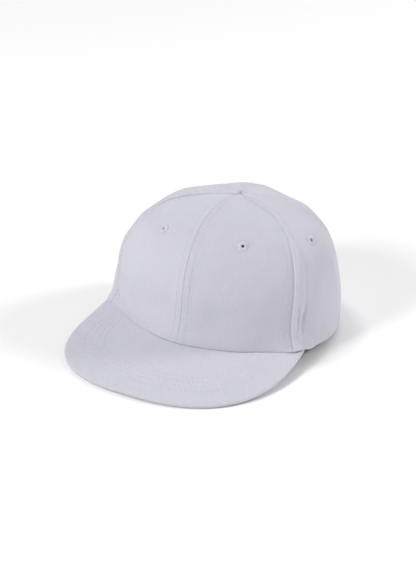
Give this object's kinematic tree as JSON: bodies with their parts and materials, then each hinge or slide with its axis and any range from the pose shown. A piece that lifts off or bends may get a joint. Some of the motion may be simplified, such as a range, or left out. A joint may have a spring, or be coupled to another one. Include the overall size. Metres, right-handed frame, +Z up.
{
  "type": "flat bill cap",
  "caption": "Plain cloth cap with a crown of sewn panels, a sewn eyelet in each, and a flat bill, standing on its bill and back edge.",
  "frame": {"origin": "on the surface that the cap stands on, under the middle of its box", "axes": "+Z up, -Y the way the bill points, +X the wearer's left"},
  "size_m": [0.1952, 0.2484, 0.1123],
  "materials": {
    "crown_cloth": "matt cotton twill, pale lavender grey",
    "bill_cloth": "matt cotton twill over a flat board, with stitch rows",
    "thread": "sewing thread in the colour of the cloth, slightly glossy"
  },
  "bodies": {
    "root": {"bill": "bill_cloth", "crown_panel_front_left": "crown_cloth", "crown_panel_front_right": "crown_cloth", "crown_panel_side_left": "crown_cloth", "crown_panel_side_right": "crown_cloth", "crown_panel_back_left": "crown_cloth", "crown_panel_back_right": "crown_cloth", "eyelet_front_left": "thread", "eyelet_front_right": "thread", "eyelet_side_left": "thread", "eyelet_side_right": "thread", "eyelet_back_left": "thread", "eyelet_back_right": "thread"}
  },
  "joints": []
}
